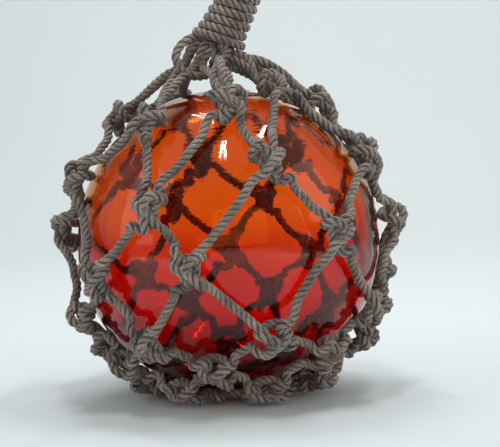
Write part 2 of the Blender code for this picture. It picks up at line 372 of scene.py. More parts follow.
class Knot:
    """One knot's place and axes, and the rope's two ways through it."""

    def __init__(self, row, index, knots, chance):
        self.middle = knots[row][index]
        self.out = self.middle.normalized()
        self.exits = {}
        for level in ("upper", "lower"):
            for which, hand in enumerate(("left", "right")):
                other = self.neighbour(row, index, knots, level, which)
                self.exits[f"{level}_{hand}"] = self.way_to(other)
        lift = self.exits["upper_left"] + self.exits["upper_right"]
        drop = self.exits["lower_left"] + self.exits["lower_right"]
        up = lift - drop
        up = (up - self.out * up.dot(self.out)).normalized()
        self.up = Matrix.Rotation(chance.uniform(-KNOT_STRAY, KNOT_STRAY), 3, self.out) @ up
        self.right = self.up.cross(self.out)
        self.mirrored = (row + index) % 2 == 1
        self.size = ROPE * chance.uniform(*KNOT_SIZES)
        self.press = PRESSED if row == len(knots) - 1 else (1.0, 1.0, 1.0)

    @staticmethod
    def neighbour(row, index, knots, level, which):
        """The place that one of a knot's four links runs to."""
        if level == "upper":
            if row == 0:
                return neck_pass(index, leg_side(index, which), -ROPE, 1.0)
            return knots[row - 1][linked(row, index)[which]]
        if row == len(knots) - 1:
            return ring_pass(index, RING_SIDES[which])
        return knots[row + 1][linked(row, index)[which]]

    def way_to(self, other):
        """The direction along the ball towards another place."""
        way = other - self.middle
        return (way - self.out * way.dot(self.out)).normalized()

    def place(self, local):
        """A point of the knot's own axes, kept just clear of the glass."""
        right, up, out = local
        right *= KNOT_WIDTH * self.press[0]
        up *= KNOT_HEIGHT * self.press[1]
        out *= self.press[2]
        point = self.middle + (self.right * right + self.up * up + self.out * out) * self.size
        held = (point.normalized() * max(point.length, KNOT_LEAST)).to_4d()
        held.w = KNOT_GIRTH
        return held

    def exit_point(self, name, out):
        """Where the rope leaves the knot towards a neighbour."""
        way = self.exits[name]
        return self.middle + way * (KNOT_EXIT * self.size) + self.out * (out * self.size)

    def bight(self):
        """From the upper left link, round the bight, to the upper right link."""
        inner = [self.place(p) for p in BIGHT_WAY]
        first = self.exit_point("upper_left", BIGHT_EXIT_OUT)
        return [first, *inner, self.exit_point("upper_right", BIGHT_EXIT_OUT)]

    def working(self):
        """From the lower left link, through and round the bight, to the lower right link."""
        if self.mirrored:
            inner = [self.place((-x, y, z)) for x, y, z in reversed(WORKING_WAY)]
        else:
            inner = [self.place(p) for p in WORKING_WAY]
        first = self.exit_point("lower_left", WORKING_EXIT_OUT)
        return [first, *inner, self.exit_point("lower_right", WORKING_EXIT_OUT)]

    def cut_end(self, turn):
        """A short cut end that comes out from under the knot's crossing."""
        way = self.right * math.sin(turn) - self.up * math.cos(turn)
        return [self.middle + (way * reach + self.out * lift) * self.size for reach, lift in CUT_END_WAY]


def link_points(start, end, chance):
    """The rope between two knots: it bears on the glass in the middle, and strays a little."""
    spread = start.angle(end)
    length = spread * (start.length + end.length) / 2
    across = start.cross(end).normalized()
    points = []
    sway = chance.uniform(-LINK_SWAY, LINK_SWAY)
    for share in (0.36, 0.5, 0.64) if length > 7 * ROPE else (0.5,):
        way = start.normalized().slerp(end.normalized(), share)
        height = start.length + (end.length - start.length) * share
        reach = ROPE_LIE + (height - ROPE_LIE) * (2 * share - 1) ** 2
        bow = sway * (1 - (2 * share - 1) ** 2)
        points.append(way * reach + across * bow)
    return points


def net_courses():
    """The net's cords, each a closed zigzag of links and knots right round the ball."""
    chance = random.Random(11)
    knots = net_knots()
    last = len(knots) - 1
    made = [[Knot(row, i, knots, chance) for i in range(MESHES)] for row in range(last + 1)]
    courses = [[(neck_course(made[0]), True)]]
    for row in range(last):
        path = []
        for index in range(MESHES):
            here = made[row][index]
            under = made[row + 1][linked(row, index)[1]]
            after = made[row][(index + 1) % MESHES]
            path += here.working()
            path += link_points(here.middle, under.middle, chance)
            path += under.bight()
            path += link_points(under.middle, after.middle, chance)
        courses.append([(path, True)])
    courses.append([(ring_course(made[last]), True)])
    for (row, index), turn in CUT_ENDS.items():
        courses[row + 1].append((made[row][index].cut_end(math.radians(turn)), False))
    return courses


def neck_course(top_knots):
    """The top cord: bights at the first row, and legs up into the neck and down again."""
    path = []
    chance = random.Random(23)
    for index, knot in enumerate(top_knots):
        after = top_knots[(index + 1) % MESHES]
        side = leg_side(index, 1)
        next_side = leg_side(index + 1, 0)
        path += knot.bight()
        path += leg_points(knot, index, side, chance)
        path += [neck_pass(index, side, height, share) for height, share in LEG_UP]
        top = LEG_TURN_HEIGHTS[index % 2]
        path += [neck_pass(index, 0.44, top, 0.62), neck_pass(index + 1, -0.40, top, 0.30)]
        path += [neck_pass(index + 1, next_side, height, share) for height, share in LEG_DOWN]
        path += reversed(leg_points(after, index + 1, next_side, chance))
    return path


def leg_points(knot, index, side, chance):
    """A leg from its knot to the neck, straight, or bowed off the glass on the leaning side."""
    turn = math.radians(360 * (index + side) / MESHES)
    drop = 1.2 * ROPE + LEG_DROP * (1 - math.sin(turn)) / 2
    gather = neck_pass(index, side, -drop, 0.63)
    gather = gather.normalized() * max(ROPE_LIE, gather.length)
    start = knot.middle + (gather - knot.middle).normalized() * KNOT_EXIT * ROPE
    slack = LEG_SLACK * max(0.0, math.sin(turn)) + chance.uniform(0.05, 0.35) * ROPE
    sway = chance.uniform(-0.25, 0.25) * ROPE
    across = start.cross(gather).normalized()
    points = []
    for share in (0.34, 0.67):
        spot = start.lerp(gather, share)
        points.append(spot.normalized() * (max(ROPE_LIE, spot.length) + slack) + across * sway)
    return points + [gather]


def round_the_ring(turn, radius, height):
    """A place round the closing ring's middle at a height over the table, seen from the ball's middle."""
    return Vector((radius * math.sin(turn), -radius * math.cos(turn), height - BALL_MIDDLE.z))


def ring_course(low_knots):
    """The lowest cord: knots of the last row, and bights hooked under and over the closing ring."""
    path = []
    for index, knot in enumerate(low_knots):
        path += knot.working()
        after = low_knots[(index + 1) % MESHES]
        hooks = ((knot, RING_SIDES[1], 1), (after, 1 + RING_SIDES[0], -1))
        for leg, side, order in hooks:
            turn = math.radians(360 * (index + 0.5 + side) / MESHES)
            reach = leg.middle.lerp(round_the_ring(turn, RING_RADIUS, RING_HEIGHT), 0.55)
            steps = [
                reach.normalized() * max(reach.length, HOOK_LEAST),
                round_the_ring(turn, RING_RADIUS + 1.15 * ROPE, RING_OUTER_HEIGHT),
                round_the_ring(turn, RING_RADIUS, RING_PASS_HEIGHT),
                round_the_ring(turn, RING_RADIUS - 0.95 * ROPE, RING_INNER_HEIGHT),
            ]
            path += steps[::order]
    # The cord lies on the table where it would reach below it
    for point in path:
        point.z = max(point.z, TABLE_CLEARANCE - BALL_MIDDLE.z)
    return path


def ring_path():
    """The closing ring's own cord."""
    turns = [2 * math.pi * k / RING_POINTS for k in range(RING_POINTS)]
    return [round_the_ring(turn, RING_RADIUS, RING_HEIGHT) for turn in turns]


def whipping_path():
    """The rope wound round the neck, from under its first turn to its tucked end."""
    neck = neck_frame()
    path = []
    for k in range(WHIPPING_TURNS * WHIPPING_STEPS + 1):
        share = k / WHIPPING_STEPS
        height = WHIPPING_START + (share + 0.02) * WHIPPING_PITCH * 0.985
        turn = 2 * math.pi * share + WHIPPING_TURN_START
        height += WHIPPING_WAVE * math.cos(turn)
        swell = WHIPPING_SWELL * max(0.0, 1 - share) ** 0.7
        radius = neck_radius(height) + 0.47 * ROPE + swell
        path.append(neck @ Vector((radius * math.cos(turn), radius * math.sin(turn), height)))
    start = neck @ Vector((-0.4 * NECK_FOOT_RADIUS, 0, 1.2 * ROPE))
    end_height = WHIPPING_START + (WHIPPING_TURNS - 0.3) * WHIPPING_PITCH
    end = neck @ Vector((0.2 * NECK_TOP_RADIUS, -0.3 * NECK_TOP_RADIUS, end_height))
    return [start] + path + [end]


def eye_path():
    """The eye: two legs from inside the whipping and a round bight above it."""
    neck = neck_frame()
    top = WHIPPING_START + WHIPPING_TURNS * WHIPPING_PITCH
    foot = NECK_LENGTH - EYE_LEG_DEPTH + EYE_LEG_LIFT
    leg = 0.52 * ROPE
    bight = EYE_WIDTH / 2
    crown = top + EYE_HEIGHT - bight
    legs = ((leg, foot), (leg, top - ROPE / 2), (leg * 1.25, top + ROPE))
    path = [Vector((-side, 0, height)) for side, height in legs]
    for k in range(10):
        turn = math.pi * (1.12 - 1.24 * k / 9)
        path.append(Vector((bight * math.cos(turn), 0, crown + bight * math.sin(turn))))
    path += [Vector((side, 0, height)) for side, height in reversed(legs)]
    return [neck @ point for point in path]


def slack_bight_path():
    """A slack bight that stands out on the left under the whipping."""
    neck = neck_frame()
    return [
        neck @ Vector((-0.5 * NECK_FOOT_RADIUS, 0.001, 1.8 * ROPE)),
        neck @ Vector((-0.95 * NECK_FOOT_RADIUS, -0.002, 0.35 * ROPE)),
        Vector((-0.0235, -0.016, BALL_RADIUS + 0.0325)),
        Vector((-0.0300, -0.019, BALL_RADIUS + 0.0250)),
        Vector((-0.0295, -0.022, BALL_RADIUS + 0.0165)),
        Vector((-0.0235, -0.023, BALL_RADIUS + 0.0105)),
        Vector((-0.0130, -0.018, BALL_RADIUS + 0.0090)),
        Vector((-0.0040, -0.007, BALL_RADIUS + 0.0150)),
        neck @ Vector((0, 0, 0.4 * ROPE)),
    ]


def spare_bight_path():
    """A second bight that comes down the front of the neck and hooks over the foremost knot."""
    neck = neck_frame()
    return [
        neck @ Vector((0.2 * NECK_FOOT_RADIUS, -0.2 * NECK_FOOT_RADIUS, 1.6 * ROPE)),
        neck @ Vector((0.35 * NECK_FOOT_RADIUS, -1.05 * NECK_FOOT_RADIUS, 0.2 * ROPE)),
        Vector((0.0030, -0.0225, BALL_RADIUS + 0.0235)),
        Vector((-0.0035, -0.0300, BALL_RADIUS + 0.0150)),
        Vector((-0.0060, -0.0390, BALL_RADIUS + 0.0050)),
        Vector((-0.0020, -0.0450, BALL_RADIUS - 0.0005)),
        Vector((0.0030, -0.0390, BALL_RADIUS + 0.0035)),
        Vector((0.0020, -0.0280, BALL_RADIUS + 0.0105)),
        Vector((-0.0040, -0.0190, BALL_RADIUS + 0.0190)),
        neck @ Vector((-0.25 * NECK_FOOT_RADIUS, -0.8 * NECK_FOOT_RADIUS, 0.1 * ROPE)),
        neck @ Vector((0, 0, 1.8 * ROPE)),
    ]


def curve_from(name, paths):
    """A curve object through each path's points; a path is (points, closed).

    A point's fourth number, where it has one, is the rope's girth there.
    """
    data = bpy.data.curves.new(name, "CURVE")
    data.dimensions = "3D"
    data.resolution_u = 6
    for points, closed in paths:
        spline = data.splines.new("BEZIER")
        spline.bezier_points.add(len(points) - 1)
        for knot, point in zip(spline.bezier_points, points):
            knot.co = point.to_3d() + BALL_MIDDLE
            knot.radius = point.w if len(point) == 4 else 1.0
            knot.handle_left_type = "AUTO"
            knot.handle_right_type = "AUTO"
        spline.use_cyclic_u = closed
        if not closed:
            spline.bezier_points[-1].radius = CUT_ROUNDING
    obj = bpy.data.objects.new(name, data)
    bpy.context.scene.collection.objects.link(obj)
    return obj


def laid_rope_tree():
    """Geometry nodes that turn each curve into a rope of three strands laid right-handed."""
    tree = bpy.data.node_groups.new("Laid rope", "GeometryNodeTree")
    face = tree.interface
    for name, kind in (("Geometry", "Geometry"), ("Diameter", "Float"), ("Lay", "Float"), ("Step", "Float"),
                       ("Sides", "Int"), ("Seed", "Float"), ("Finish", "Material")):
        face.new_socket(name, in_out="INPUT", socket_type=f"NodeSocket{kind}")
    face.new_socket("Geometry", in_out="OUTPUT", socket_type="NodeSocketGeometry")
    given = add_node(tree, "NodeGroupInput").outputs
    even = add_node(tree, "GeometryNodeResampleCurve",
                    {"Curve": given["Geometry"], "Length": given["Step"]}, mode="LENGTH").outputs[0]
    along = add_node(tree, "GeometryNodeSplineParameter").outputs["Length"]
    total = add_node(tree, "GeometryNodeSplineLength").outputs["Length"]
    # A closed rope takes a whole number of turns, so that its strands meet themselves
    lays = add_node(tree, "ShaderNodeMath", {0: total, 1: given["Lay"]}, operation="DIVIDE").outputs[0]
    whole = add_node(tree, "ShaderNodeMath", {0: lays}, operation="ROUND").outputs[0]
    turns = add_node(tree, "ShaderNodeMath", {0: whole, 1: 1.0}, operation="MAXIMUM").outputs[0]
    wound = add_node(tree, "ShaderNodeMath", {0: along, 1: turns}, operation="MULTIPLY").outputs[0]
    share = add_node(tree, "ShaderNodeMath", {0: wound, 1: total}, operation="DIVIDE").outputs[0]
    phase = add_node(tree, "ShaderNodeMath", {0: share, 1: 2 * math.pi}, operation="MULTIPLY").outputs[0]
    normal = add_node(tree, "GeometryNodeInputNormal").outputs[0]
    tangent = add_node(tree, "GeometryNodeInputTangent").outputs[0]
    side = add_node(tree, "ShaderNodeVectorMath", {0: tangent, 1: normal},
                    operation="CROSS_PRODUCT").outputs[0]
    # The rope is as thick as its guide's own radius says, so that it can thin towards a cut end
    radius = add_node(tree, "GeometryNodeInputRadius").outputs[0]
    thickness = add_node(tree, "ShaderNodeMath", {0: given["Diameter"], 1: radius},
                         operation="MULTIPLY").outputs[0]
    spot = add_node(tree, "GeometryNodeInputPosition").outputs[0]
    # The rope's own middle and girth stay known to each strand, for the depth of the lay, from which the
    # finish paints shade into the grooves
    marked = even
    for name, kind, value in (("along", "FLOAT", along), ("core", "FLOAT_VECTOR", spot),
                              ("girth", "FLOAT", thickness)):
        marked = add_node(tree, "GeometryNodeStoreNamedAttribute",
                          {"Geometry": marked, "Name": name, "Value": value},
                          data_type=kind, domain="POINT").outputs[0]
    circle = add_node(tree, "GeometryNodeCurvePrimitiveCircle",
                      {"Resolution": given["Sides"], "Radius": 1.0}, mode="RADIUS").outputs["Curve"]
    profile = add_node(tree, "GeometryNodeStoreNamedAttribute",
                       {"Geometry": circle, "Name": "round", "Value": spot},
                       data_type="FLOAT_VECTOR", domain="POINT").outputs[0]
    strand_radius = add_node(tree, "ShaderNodeMath", {0: thickness, 1: STRAND_SHARE},
                             operation="MULTIPLY").outputs[0]
    strand_offset = add_node(tree, "ShaderNodeMath", {0: thickness, 1: 0.5 - STRAND_SHARE},
                             operation="MULTIPLY").outputs[0]
    join = add_node(tree, "GeometryNodeJoinGeometry")
    for strand in range(STRANDS):
        angle = add_node(tree, "ShaderNodeMath", {0: phase, 1: 2 * math.pi * strand / STRANDS},
                         operation="ADD").outputs[0]
        arms = []
        for operation, way in (("COSINE", normal), ("SINE", side)):
            swing = add_node(tree, "ShaderNodeMath", {0: angle}, operation=operation).outputs[0]
            reach = add_node(tree, "ShaderNodeMath", {0: swing, 1: strand_offset},
                             operation="MULTIPLY").outputs[0]
            arms.append(add_node(tree, "ShaderNodeVectorMath", {0: way, "Scale": reach},
                                 operation="SCALE").outputs[0])
        offset = add_node(tree, "ShaderNodeVectorMath", {0: arms[0], 1: arms[1]},
                          operation="ADD").outputs[0]
        moved = add_node(tree, "GeometryNodeSetPosition",
                         {"Geometry": marked, "Offset": offset}).outputs[0]
        # Each strand is a little fuller here and thinner there
        place = add_node(tree, "ShaderNodeMath", {0: given["Seed"], 1: 3.7 * strand},
                         operation="ADD").outputs[0]
        full = add_node(tree, "ShaderNodeTexNoise", {"W": place, "Scale": 190.0, "Detail": 1.0},
                        noise_dimensions="4D").outputs[0]
        spread = add_node(tree, "ShaderNodeMath", {0: full, 1: 0.24}, operation="MULTIPLY").outputs[0]
        swell = add_node(tree, "ShaderNodeMath", {0: spread, 1: 0.88}, operation="ADD").outputs[0]
        size = add_node(tree, "ShaderNodeMath", {0: strand_radius, 1: swell},
                        operation="MULTIPLY").outputs[0]
        sized = add_node(tree, "GeometryNodeSetCurveRadius", {"Curve": moved, "Radius": size}).outputs[0]
        own = add_node(tree, "GeometryNodeInputRadius").outputs[0]
        tube = add_node(tree, "GeometryNodeCurveToMesh",
                        {"Curve": sized, "Profile Curve": profile, "Scale": own,
                         "Fill Caps": True}).outputs[0]
        number = add_node(tree, "GeometryNodeStoreNamedAttribute",
                          {"Geometry": tube, "Name": "strand", "Value": strand / STRANDS},
                          data_type="FLOAT", domain="POINT").outputs[0]
        core = add_node(tree, "GeometryNodeInputNamedAttribute", {"Name": "core"},
                        data_type="FLOAT_VECTOR").outputs[0]
        away = add_node(tree, "ShaderNodeVectorMath", {0: spot, 1: core},
                        operation="DISTANCE").outputs["Value"]
        girth = add_node(tree, "GeometryNodeInputNamedAttribute", {"Name": "girth"},
                         data_type="FLOAT").outputs[0]
        height = add_node(tree, "ShaderNodeMath", {0: away, 1: girth}, operation="DIVIDE").outputs[0]
        bare = add_node(tree, "GeometryNodeStoreNamedAttribute",
                        {"Geometry": number, "Name": "crown", "Value": height},
                        data_type="FLOAT", domain="POINT").outputs[0]
        for name in ("core", "girth"):
            bare = add_node(tree, "GeometryNodeRemoveAttribute",
                            {"Geometry": bare, "Name": name}).outputs[0]
        tree.links.new(bare, join.inputs[0])
    smooth = add_node(tree, "GeometryNodeSetShadeSmooth", {"Geometry": join.outputs[0]}).outputs[0]
    real = add_node(tree, "GeometryNodeRealizeInstances", {"Geometry": smooth}).outputs[0]
    done = add_node(tree, "GeometryNodeSetMaterial",
                    {"Geometry": real, "Material": given["Finish"]}).outputs[0]
    add_node(tree, "NodeGroupOutput", {0: done})
    return tree


def rope_piece(name, paths, seed):
    """A piece of laid rope along paths, as a plain mesh."""
    settings = bpy.context.scene.float_rope
    guide = curve_from(name + "_route", paths)
    tree = bpy.data.node_groups.get("Laid rope") or laid_rope_tree()
    laid = guide.modifiers.new("Laid rope", "NODES")
    laid.node_group = tree
    given = {"Diameter": settings.diameter, "Lay": settings.lay, "Step": settings.step,
             "Sides": settings.sides, "Seed": seed, "Finish": rope_finish()}
    for item in tree.interface.items_tree:
        if item.in_out == "INPUT" and item.name in given:
            laid[item.identifier] = given[item.name]
    graph = bpy.context.evaluated_depsgraph_get()
    mesh = bpy.data.meshes.new_from_object(guide.evaluated_get(graph), depsgraph=graph)
    mesh.name = name
    bpy.data.objects.remove(guide, do_unlink=True)
    piece = bpy.data.objects.new(name, mesh)
    bpy.context.scene.collection.objects.link(piece)
    return piece


def rope_finish():
    """Tarred hemp rope, laid: the eye sees twisted yarns, greyed by wear, with painted shade dark brown in
    the grooves of the lay and painted glints of broken fibres.
    """
    found = bpy.data.materials.get("Tarred hemp rope, laid")
    if found:
        return found
    settings = bpy.context.scene.float_rope
    made, tree, shader = new_material("Tarred hemp rope, laid")
    ring = add_node(tree, "ShaderNodeAttribute", attribute_name="round").outputs["Vector"]
    along = add_node(tree, "ShaderNodeAttribute", attribute_name="along").outputs["Fac"]
    strand = add_node(tree, "ShaderNodeAttribute", attribute_name="strand").outputs["Fac"]
    crown = add_node(tree, "ShaderNodeAttribute", attribute_name="crown").outputs["Fac"]
    where = add_node(tree, "ShaderNodeTexCoord").outputs["Object"]
    # The yarns wind round each strand
    across = add_node(tree, "ShaderNodeSeparateXYZ", {"Vector": ring}).outputs
    angle = add_node(tree, "ShaderNodeMath", {0: across["Y"], 1: across["X"]},
                     operation="ARCTAN2").outputs[0]
    spun = add_node(tree, "ShaderNodeMath", {0: angle, 1: YARNS}, operation="MULTIPLY").outputs[0]
    yarns = add_node(tree, "ShaderNodeMath", {0: along, 1: YARNS * 2 * math.pi / YARN_TWIST, 2: spun},
                     operation="MULTIPLY_ADD").outputs[0]
    wave = add_node(tree, "ShaderNodeMath", {0: yarns}, operation="SINE").outputs[0]
    # Flecks as wide as a yarn (0.8 mm) and weathered patches (14 mm)
    fleck = add_node(tree, "ShaderNodeTexNoise",
                     {"Vector": where, "Scale": 1 / 0.0008, "Detail": 2.0, "Roughness": 0.6}).outputs[0]
    patch = add_node(tree, "ShaderNodeTexNoise",
                     {"Vector": where, "Scale": 1 / 0.014, "Detail": 3.0, "Roughness": 0.55}).outputs[0]
    mixed = add_node(tree, "ShaderNodeMath", {0: wave, 1: 0.16, 2: fleck},
                     operation="MULTIPLY_ADD").outputs[0]
    tone = add_node(tree, "ShaderNodeMath", {0: patch, 1: 0.9, 2: mixed},
                    operation="MULTIPLY_ADD").outputs[0]
    spread = add_node(tree, "ShaderNodeMapRange",
                      {"Value": tone, "From Min": 0.70, "From Max": 1.20}).outputs[0]
    colour = add_node(tree, "ShaderNodeMix",
                      {"Factor": spread, 6: linear(settings.dark), 7: linear(settings.light)},
                      data_type="RGBA").outputs[2]
    # Pale flecks, 1 mm long, for broken fibres: painted glints where they catch the light
    fibre = add_node(tree, "ShaderNodeTexNoise",
                     {"Vector": where, "Scale": 1 / 0.0010, "Detail": 1.0}).outputs[0]
    fibre_glints = add_node(tree, "ShaderNodeMapRange",
                      {"Value": fibre, "From Min": 0.62, "From Max": 0.72, "To Max": 0.40}).outputs[0]
    glint_flecked = add_node(tree, "ShaderNodeMix", {"Factor": fibre_glints, 6: colour, 7: linear("#BDB4AA")},
                       data_type="RGBA").outputs[2]
    # Painted shade: the grooves between the strands, near the rope's core, are painted near black (#1B1614)
    groove_shade_mask = add_node(tree, "ShaderNodeMapRange", {"Value": crown, "From Min": 0.33, "From Max": 0.50},
                        interpolation_type="SMOOTHSTEP").outputs[0]
    groove_shaded = add_node(tree, "ShaderNodeMix", {"Factor": groove_shade_mask, 6: linear("#1B1614"), 7: glint_flecked},
                    data_type="RGBA").outputs[2]
    # The three strands differ a little
    lean = add_node(tree, "ShaderNodeMapRange",
                    {"Value": strand, "From Max": 0.67, "To Min": 0.93, "To Max": 1.06}).outputs[0]
    tint = add_node(tree, "ShaderNodeHueSaturation", {"Color": groove_shaded, "Value": lean}).outputs[0]
    rough = add_node(tree, "ShaderNodeMapRange",
                     {"Value": fleck, "To Min": 0.36, "To Max": 0.78}).outputs[0]
    relief = add_node(tree, "ShaderNodeMath", {0: wave, 1: 0.5, 2: fleck},
                      operation="MULTIPLY_ADD").outputs[0]
    bump = add_node(tree, "ShaderNodeBump",
                    {"Height": relief, "Strength": 0.55, "Distance": 0.00025}).outputs[0]
    link_inputs(tree, shader, {"Base Color": tint, "Roughness": rough, "Normal": bump})
    shader.inputs["Specular IOR Level"].default_value = 0.5
    shader.inputs["Sheen Weight"].default_value = 0.12
    shader.inputs["Sheen Roughness"].default_value = 0.6
    return made


def glass_finish():
    """Soda glass, blown and shaded by hand: amber over the crown running to red, with a watery skin."""
    settings = bpy.context.scene.float_glass
    made, tree, shader = new_material("Blown soda glass, amber to red")
    where = add_node(tree, "ShaderNodeTexCoord").outputs["Object"]
    drift = add_node(tree, "ShaderNodeTexNoise", {"Vector": where, "Scale": 14.0, "Detail": 2.0}).outputs[0]
    height = add_node(tree, "ShaderNodeSeparateXYZ", {"Vector": where}).outputs["Z"]
    bent = add_node(tree, "ShaderNodeMath", {0: drift, 1: 0.5 * BALL_RADIUS, 2: height},
                    operation="MULTIPLY_ADD").outputs[0]
    share = add_node(tree, "ShaderNodeMapRange",
                     {"Value": bent, "From Min": BALL_MIDDLE.z - 0.14 * BALL_RADIUS,
                      "From Max": BALL_MIDDLE.z + 0.55 * BALL_RADIUS},
                     interpolation_type="SMOOTHSTEP").outputs[0]
    colour = add_node(tree, "ShaderNodeMix",
                      {"Factor": share, 6: linear(settings.flank), 7: linear(settings.crown)},
                      data_type="RGBA").outputs[2]
    # Towards the bottom the glass is painted darker, down to maroon: painted shade under the ball
    bottom_shade = add_node(tree, "ShaderNodeMapRange",
                    {"Value": bent, "From Min": BALL_MIDDLE.z - 0.46 * BALL_RADIUS,
                     "From Max": BALL_MIDDLE.z - 0.24 * BALL_RADIUS},
                    interpolation_type="SMOOTHSTEP").outputs[0]
    body = add_node(tree, "ShaderNodeMix", {"Factor": bottom_shade, 6: linear(settings.foot), 7: colour},
                    data_type="RGBA").outputs[2]
    # Towards its outline the eye looks through more glass, so it turns from orange to deep red
    edge = add_node(tree, "ShaderNodeLayerWeight", {"Blend": 0.45}).outputs["Facing"]
    slant = add_node(tree, "ShaderNodeMapRange", {"Value": edge, "From Min": 0.10, "From Max": 0.75},
                     interpolation_type="SMOOTHSTEP").outputs[0]
    # The crown was gathered thinner, so its outline stays orange
    thick = add_node(tree, "ShaderNodeMapRange", {"Value": share, "To Min": 1.0, "To Max": 0.35}).outputs[0]
    reddening = add_node(tree, "ShaderNodeMath", {0: slant, 1: thick}, operation="MULTIPLY").outputs[0]
    deep = add_node(tree, "ShaderNodeMix", {"Factor": reddening, 6: body, 7: linear(settings.edge)},
                    data_type="RGBA").outputs[2]
    # The skin's fine chill marks, 7 mm long and 2 mm high, over soft 25 mm swells
    stretch = add_node(tree, "ShaderNodeMapping", {"Vector": where, "Scale": (1.0, 1.0, 3.2)}).outputs[0]
    fine = add_node(tree, "ShaderNodeTexNoise",
                    {"Vector": stretch, "Scale": 150.0, "Detail": 2.0, "Roughness": 0.5}).outputs[0]
    soft = add_node(tree, "ShaderNodeTexNoise",
                    {"Vector": where, "Scale": 1 / 0.025, "Detail": 1.0}).outputs[0]
    # The chill marks are strongest round the crown, where the glass set first
    chill = add_node(tree, "ShaderNodeMapRange",
                     {"Value": height, "From Min": BALL_MIDDLE.z + 0.35 * BALL_RADIUS,
                      "From Max": BALL_MIDDLE.z + 0.85 * BALL_RADIUS,
                      "To Min": 0.07, "To Max": 0.36}).outputs[0]
    skin = add_node(tree, "ShaderNodeMath", {0: fine, 1: chill, 2: soft},
                    operation="MULTIPLY_ADD").outputs[0]
    bump = add_node(tree, "ShaderNodeBump",
                    {"Height": skin, "Strength": 0.5, "Distance": 0.0006}).outputs[0]
    link_inputs(tree, shader, {"Base Color": deep, "Normal": bump})
    shader.inputs["Transmission Weight"].default_value = 1.0
    shader.inputs["IOR"].default_value = 1.5
    shader.inputs["Roughness"].default_value = 0.015
    return made


def blown_radius(way, swell):
    """The ball's outer radius in a direction: a little out of round, with a sealed button below."""
    slow = noise.noise(way * 1.3 + Vector((4.1, 0.7, 2.2)))
    swirl = noise.noise(Vector((way.x * 3.1, way.y * 3.1, way.z * 5.0)) + Vector((9.0, 3.0, 1.0)))
    radius = BALL_RADIUS - swell * (0.55 + 0.9 * slow + 0.35 * swirl)
    flat = math.hypot(way.x, way.y) * BALL_RADIUS
    if way.z < 0 and flat < SEAL_RADIUS:
        radius += SEAL_HEIGHT * min(1.0, (1 - flat / SEAL_RADIUS) * 3)
    return min(radius, BALL_RADIUS + SEAL_HEIGHT)


def sphere_points(shape, middle, radius_of, columns, rows, inward):
    """A closed round skin of rows and columns in a bmesh, its faces turned in or out."""
    rings = []
    for row in range(1, rows):
        rise = math.pi * (row / rows - 0.5)
        ring = []
        for column in range(columns):
            turn = 2 * math.pi * column / columns
            way = Vector((math.cos(rise) * math.cos(turn), math.cos(rise) * math.sin(turn), math.sin(rise)))
            ring.append(shape.verts.new(middle + way * radius_of(way)))
        rings.append(ring)
    south = shape.verts.new(middle - Vector((0, 0, radius_of(Vector((0, 0, -1))))))
    north = shape.verts.new(middle + Vector((0, 0, radius_of(Vector((0, 0, 1))))))
    faces = []
    for low, high in zip(rings, rings[1:]):
        for k in range(columns):
            after = (k + 1) % columns
            faces.append((low[k], low[after], high[after], high[k]))
    for k in range(columns):
        after = (k + 1) % columns
        faces.append((rings[0][after], rings[0][k], south))
        faces.append((rings[-1][k], rings[-1][after], north))
    for corners in faces:
        shape.faces.new(tuple(reversed(corners)) if inward else corners)


def finish_mesh(name, shape, finish):
    """An object from a bmesh, smooth and with its material."""
    mesh = bpy.data.meshes.new(name)
    shape.to_mesh(mesh)
    shape.free()
    mesh.shade_smooth()
    mesh.materials.append(finish)
    obj = bpy.data.objects.new(name, mesh)
    bpy.context.scene.collection.objects.link(obj)
    return obj


class FLOAT_OT_glass(bpy.types.Operator):
    """Blow the ball: an outer and an inner skin with a wall of true thickness and a few seeds in it"""

    bl_idname = "float_ball.glass"
    bl_label = "Blown ball"

    def execute(self, context):
        settings = context.scene.float_glass
        shape = bmesh.new()

        def outer(way):
            return blown_radius(way, settings.swell)

        def inner(way):
            uneven = 0.0006 * noise.noise(way * 2.1 + Vector((1.0, 7.0, 3.0)))
            return BALL_RADIUS - settings.swell - settings.wall - uneven

        sphere_points(shape, BALL_MIDDLE, outer, SKIN_COLUMNS, SKIN_ROWS, False)
        sphere_points(shape, BALL_MIDDLE, inner, SKIN_COLUMNS, SKIN_ROWS, True)
        chance = random.Random(5)
        for _ in range(settings.seeds):
            height = chance.uniform(-1, 1)
            turn = chance.uniform(0, 2 * math.pi)
            flat = math.sqrt(1 - height * height)
            way = Vector((flat * math.cos(turn), flat * math.sin(turn), height))
            radius = chance.uniform(0.00018, 0.00055)
            depth = chance.uniform(0.4, 0.6) * settings.wall
            spot = BALL_MIDDLE + way * (BALL_RADIUS - settings.swell - depth)
            sphere_points(shape, spot, lambda _way, radius=radius: radius, 8, 6, True)
        ball = finish_mesh("blown_glass_ball", shape, glass_finish())
        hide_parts("glass_ball")
        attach(ball, BODY)
        return {"FINISHED"}


class FLOAT_OT_net(bpy.types.Operator):
    """Knot the net: one cord for each course of meshes, and the ring that closes it below"""

    bl_idname = "float_ball.net"
    bl_label = "Knotted net"

    def execute(self, context):
        for number, (name, paths) in enumerate(zip(COURSE_NAMES, net_courses())):
            if name == "neck_legs":
                paths.append((slack_bight_path(), False))
                paths.append((spare_bight_path(), False))
            course = rope_piece(name, paths, seed=number * 1.3)
            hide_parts("net")
            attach(course, BODY)
        ring = rope_piece("closing_ring", [(ring_path(), True)], seed=12.0)
        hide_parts("net")
        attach(ring, BODY)
        return {"FINISHED"}


class FLOAT_OT_neck(bpy.types.Operator):
    """Whip the neck with turns of rope"""

    bl_idname = "float_ball.neck"
    bl_label = "Whipped neck"

    def execute(self, context):
        whipping = rope_piece("neck_whipping", [(whipping_path(), False)], seed=20.0)
        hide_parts("whipping")
        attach(whipping, BODY)
        return {"FINISHED"}


class FLOAT_OT_eye(bpy.types.Operator):
    """Stand the rope eye above the whipping"""

    bl_idname = "float_ball.eye"
    bl_label = "Rope eye"

    def execute(self, context):
        eye = rope_piece("rope_eye", [(eye_path(), False)], seed=31.0)
        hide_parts("hanging_loop")
        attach(eye, BODY)
        return {"FINISHED"}


